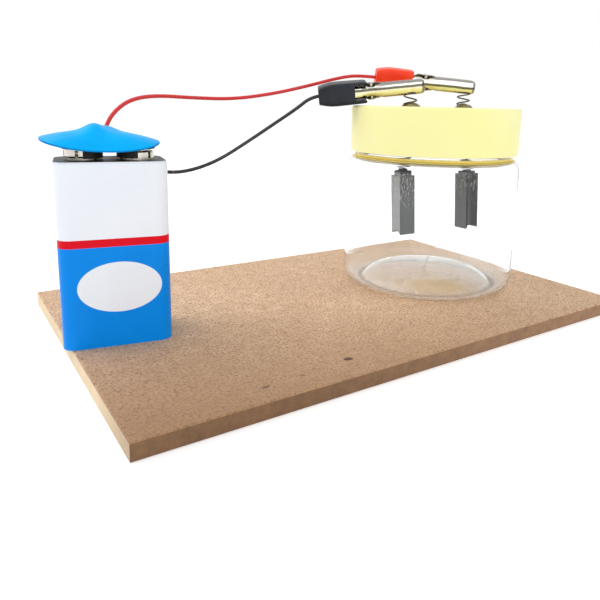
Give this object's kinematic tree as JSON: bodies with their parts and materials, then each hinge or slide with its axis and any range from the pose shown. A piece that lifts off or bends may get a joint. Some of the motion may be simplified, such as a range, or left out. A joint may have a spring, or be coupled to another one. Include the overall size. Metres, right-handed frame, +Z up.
{
  "type": "water electrolysis kit",
  "caption": "Board with a block battery, a snap connector and two leads with crocodile clips, and a clear jar whose lid carries carbon electrodes on coil springs.",
  "frame": {"origin": "centre of the board's underside", "axes": "+X along the board's long edge from the battery to the jar, +Y across the board away from the viewer, +Z up"},
  "size_m": [0.1634, 0.1, 0.078],
  "materials": {
    "board_fibre": "plain, sawn edges",
    "jacket_print": "gloss print, white over blue with a red band",
    "black_plate": "satin",
    "cell_wrap": "matt",
    "contact_strip": "satin",
    "snap_metal": "nickel plate",
    "strip_fibre": "matt",
    "solder": "satin",
    "cover_vinyl": "soft, semi-gloss",
    "jar_clear": "clear",
    "lid_cream": "satin",
    "spring_steel": "drawn wire",
    "glue": "cured, semi-gloss",
    "carbon": "pressed carbon",
    "jaw_nickel": "nickel plate",
    "boot_black": "soft vinyl",
    "boot_red": "soft vinyl",
    "wire_red": "vinyl insulation",
    "wire_black": "vinyl insulation"
  },
  "bodies": {
    "base": {"base_board": "board_fibre", "battery_jacket": "jacket_print", "battery_top_plate": "black_plate", "battery_bottom_plate": "black_plate", "flat_cell_1": "cell_wrap", "flat_cell_2": "cell_wrap", "flat_cell_3": "cell_wrap", "flat_cell_4": "cell_wrap", "flat_cell_5": "cell_wrap", "flat_cell_6": "cell_wrap", "cell_strap": "contact_strip", "cell_contact": "contact_strip", "battery_stud": "snap_metal", "battery_socket": "snap_metal", "jar_body": "jar_clear", "red_wire": "wire_red", "black_wire": "wire_black"},
    "connector": {"connector_cover": "cover_vinyl", "connector_strip": "strip_fibre", "connector_stud": "snap_metal", "connector_socket": "snap_metal", "connector_solder_red": "solder", "connector_solder_black": "solder"},
    "lid": {"jar_lid": "lid_cream", "left_spring": "spring_steel", "right_spring": "spring_steel", "left_glue": "glue", "right_glue": "glue", "black_clip_fixed_jaw": "jaw_nickel", "black_clip_pin": "jaw_nickel", "black_clip_spring": "spring_steel", "black_clip_boot": "boot_black", "red_clip_fixed_jaw": "jaw_nickel", "red_clip_pin": "jaw_nickel", "red_clip_spring": "spring_steel", "red_clip_boot": "boot_red"},
    "left_block": {"left_electrode": "carbon"},
    "right_block": {"right_electrode": "carbon"},
    "black_jaw": {"black_clip_moving_jaw": "jaw_nickel"},
    "red_jaw": {"red_clip_moving_jaw": "jaw_nickel"}
  },
  "joints": [
    {"name": "connector_pull", "type": "slide", "parent": "base", "child": "connector", "axis": [0, 0, 1], "range_m": [0, 0.006], "deforming": ["red_wire", "black_wire"]},
    {"name": "lid_lift", "type": "slide", "parent": "base", "child": "lid", "axis": [0, 0, 1], "range_m": [0, 0.03], "deforming": ["red_wire", "black_wire"]},
    {"name": "left_block_rise", "type": "slide", "parent": "lid", "child": "left_block", "axis": [0, 0, 1], "range_m": [0, 0.006], "stiffness_N_per_m": 60, "deforming": ["left_spring"]},
    {"name": "right_block_rise", "type": "slide", "parent": "lid", "child": "right_block", "axis": [0, 0, 1], "range_m": [0, 0.006], "stiffness_N_per_m": 60, "deforming": ["right_spring"]},
    {"name": "black_jaw_open", "type": "hinge", "parent": "lid", "child": "black_jaw", "pos_m": [0.01828, 0.00673, 0.06978], "axis": [0.1898, 0.081, -0.9785], "range_deg": [0, 20], "stiffness_Nm_per_rad": 0.02, "deforming": ["black_clip_spring"]},
    {"name": "red_jaw_open", "type": "hinge", "parent": "lid", "child": "red_jaw", "pos_m": [0.04173, 0.0063, 0.0733], "axis": [0.0323, 0.188, -0.9816], "range_deg": [0, 20], "stiffness_Nm_per_rad": 0.02, "deforming": ["red_clip_spring"]}
  ]
}
